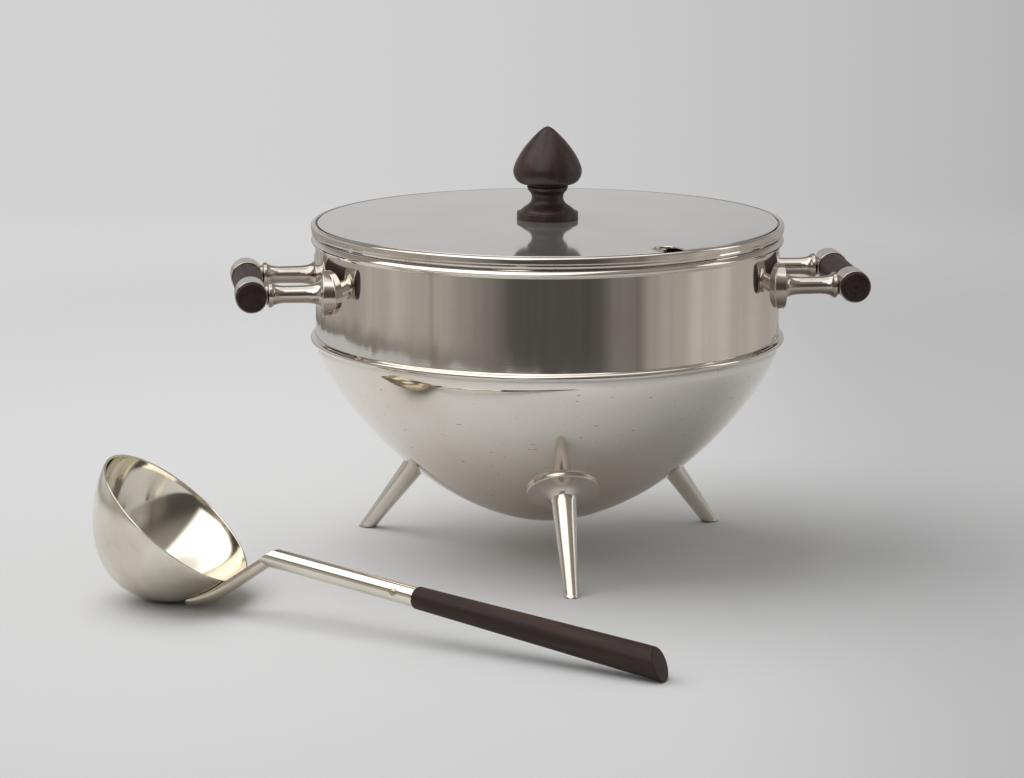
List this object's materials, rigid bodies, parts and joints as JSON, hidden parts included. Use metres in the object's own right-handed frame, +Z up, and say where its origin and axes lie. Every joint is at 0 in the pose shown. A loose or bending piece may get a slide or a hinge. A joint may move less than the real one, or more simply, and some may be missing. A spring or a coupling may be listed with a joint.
{
  "type": "soup tureen",
  "caption": "Round silver-plated soup tureen on splayed legs, with a lift-off flat lid, ebony knob and rod handles, and a matching ladle lying beside it.",
  "frame": {"origin": "centre of the whole set's box, on the surface that the tureen and its ladle stand on", "axes": "+Z up, +X from the left handle to the right handle, -Y towards the front leg"},
  "size_m": [0.3854, 0.3842, 0.2151],
  "materials": {
    "polished_silver": "polished silver plate, lightly worn, warm",
    "satin_silver": "silver plate dulled by polishing, fine horizontal brush lines",
    "foot_silver": "polished silver plate, yellowed by wear",
    "ladle_silver": "polished silver plate with a slight golden cast and small pits",
    "ebony": "turned ebony, very dark brown, satin",
    "brass": "plain brass"
  },
  "bodies": {
    "tureen": {"bowl": "satin_silver", "collar_band": "polished_silver", "waist_bead": "polished_silver", "rim_bead": "polished_silver", "rim_ring": "polished_silver", "right_handle_front_escutcheon": "polished_silver", "right_handle_front_arm": "polished_silver", "right_handle_rear_escutcheon": "polished_silver", "right_handle_rear_arm": "polished_silver", "right_handle_rod": "ebony", "left_handle_front_escutcheon": "polished_silver", "left_handle_front_arm": "polished_silver", "left_handle_rear_escutcheon": "polished_silver", "left_handle_rear_arm": "polished_silver", "left_handle_rod": "ebony", "front_foot_flange": "foot_silver", "front_foot_leg": "foot_silver", "right_foot_flange": "foot_silver", "right_foot_leg": "foot_silver", "left_foot_flange": "foot_silver", "left_foot_leg": "foot_silver"},
    "lid": {"lid_plate": "polished_silver", "lid_bezel": "polished_silver", "notch_lip": "polished_silver", "finial": "ebony", "finial_stud": "brass", "finial_washer": "polished_silver", "finial_nut": "brass"},
    "ladle": {"ladle_cup": "ladle_silver", "ladle_neck": "ladle_silver", "ladle_stem": "ladle_silver", "ladle_grip": "ebony", "ladle_rivet": "brass"}
  },
  "joints": [
    {"name": "lid_lift", "type": "slide", "parent": "tureen", "child": "lid", "axis": [0, 0, 1], "range_m": [0, 0.12]},
    {"name": "ladle_lift", "type": "slide", "parent": "tureen", "child": "ladle", "axis": [0, 0, 1], "range_m": [0, 0.15]}
  ]
}
